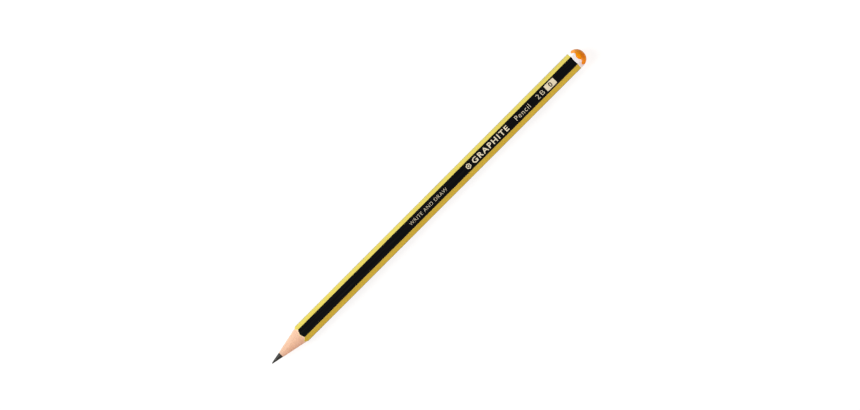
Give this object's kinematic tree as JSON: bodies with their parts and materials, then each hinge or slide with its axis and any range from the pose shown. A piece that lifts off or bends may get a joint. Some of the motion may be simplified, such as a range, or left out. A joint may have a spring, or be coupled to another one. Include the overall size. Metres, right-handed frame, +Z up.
{
  "type": "graphite pencil",
  "caption": "Sharpened six-sided wooden graphite pencil with striped lacquer, a white ring and a dipped end, for writing and drawing.",
  "frame": {"origin": "centre of the bounding box in X and Y, on the surface that the pencil lies on", "axes": "+X along the pencil from its point to its dipped end, +Z up out of the printed flat, +Y across"},
  "size_m": [0.175, 0.0078, 0.0071],
  "materials": {
    "graphite": "fired graphite and clay, dark grey with a soft metallic sheen",
    "wood": "bare, machine sharpened softwood with a fine lengthwise grain",
    "glue": "dried clear wood glue",
    "black_lacquer": "gloss lacquer in several thin coats",
    "yellow_lacquer": "gloss lacquer in several thin coats",
    "white_lacquer": "gloss dip coat",
    "orange_lacquer": "gloss dip coat",
    "foil": "hot-stamped off-white foil, satin"
  },
  "bodies": {
    "root": {"graphite_core": "graphite", "glue_film": "glue", "wood_slat_upper": "wood", "wood_slat_lower": "wood", "lacquer_black_top": "black_lacquer", "lacquer_black_low_back": "black_lacquer", "lacquer_black_low_front": "black_lacquer", "lacquer_yellow_back": "yellow_lacquer", "lacquer_yellow_front": "yellow_lacquer", "lacquer_yellow_bottom": "yellow_lacquer", "white_dip_coat": "white_lacquer", "orange_dip_cap": "orange_lacquer", "foil_words": "foil", "foil_grade_box": "foil"}
  },
  "joints": []
}
